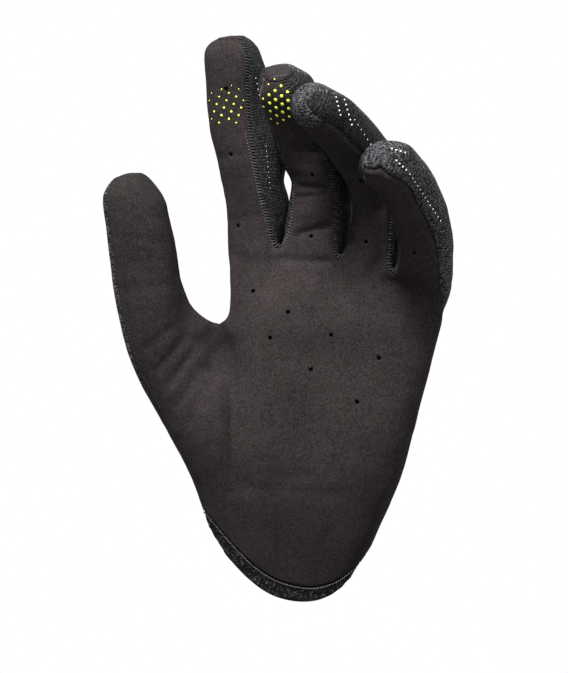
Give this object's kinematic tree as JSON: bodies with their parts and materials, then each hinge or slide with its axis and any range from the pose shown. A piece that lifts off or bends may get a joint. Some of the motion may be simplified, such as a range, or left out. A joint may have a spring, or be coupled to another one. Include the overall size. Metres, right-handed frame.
{
  "type": "cycling glove",
  "caption": "Left-hand full-finger cycling glove in its worn shape, with a perforated suede palm, a knitted mesh back and a gathered elastic wrist.",
  "frame": {"origin": "centre of the wrist opening, level with the hem at the sides of the wrist", "axes": "+Z from the wrist to the fingertips; the palm faces -Y and the thumb lies towards -X"},
  "size_m": [0.1412, 0.0846, 0.2295],
  "materials": {
    "suede": "matt synthetic suede",
    "mesh": "warp-knitted spacer mesh",
    "elastic": "gathered elastic binding"
  },
  "bodies": {
    "root": {"palm_suede": "suede", "back_mesh": "mesh", "thumb_back": "mesh", "fourchette_index_middle": "mesh", "fourchette_middle_ring": "mesh", "fourchette_ring_little": "mesh", "index_tip_cap": "suede", "middle_tip_cap": "suede", "cuff_binding": "elastic"}
  },
  "joints": []
}
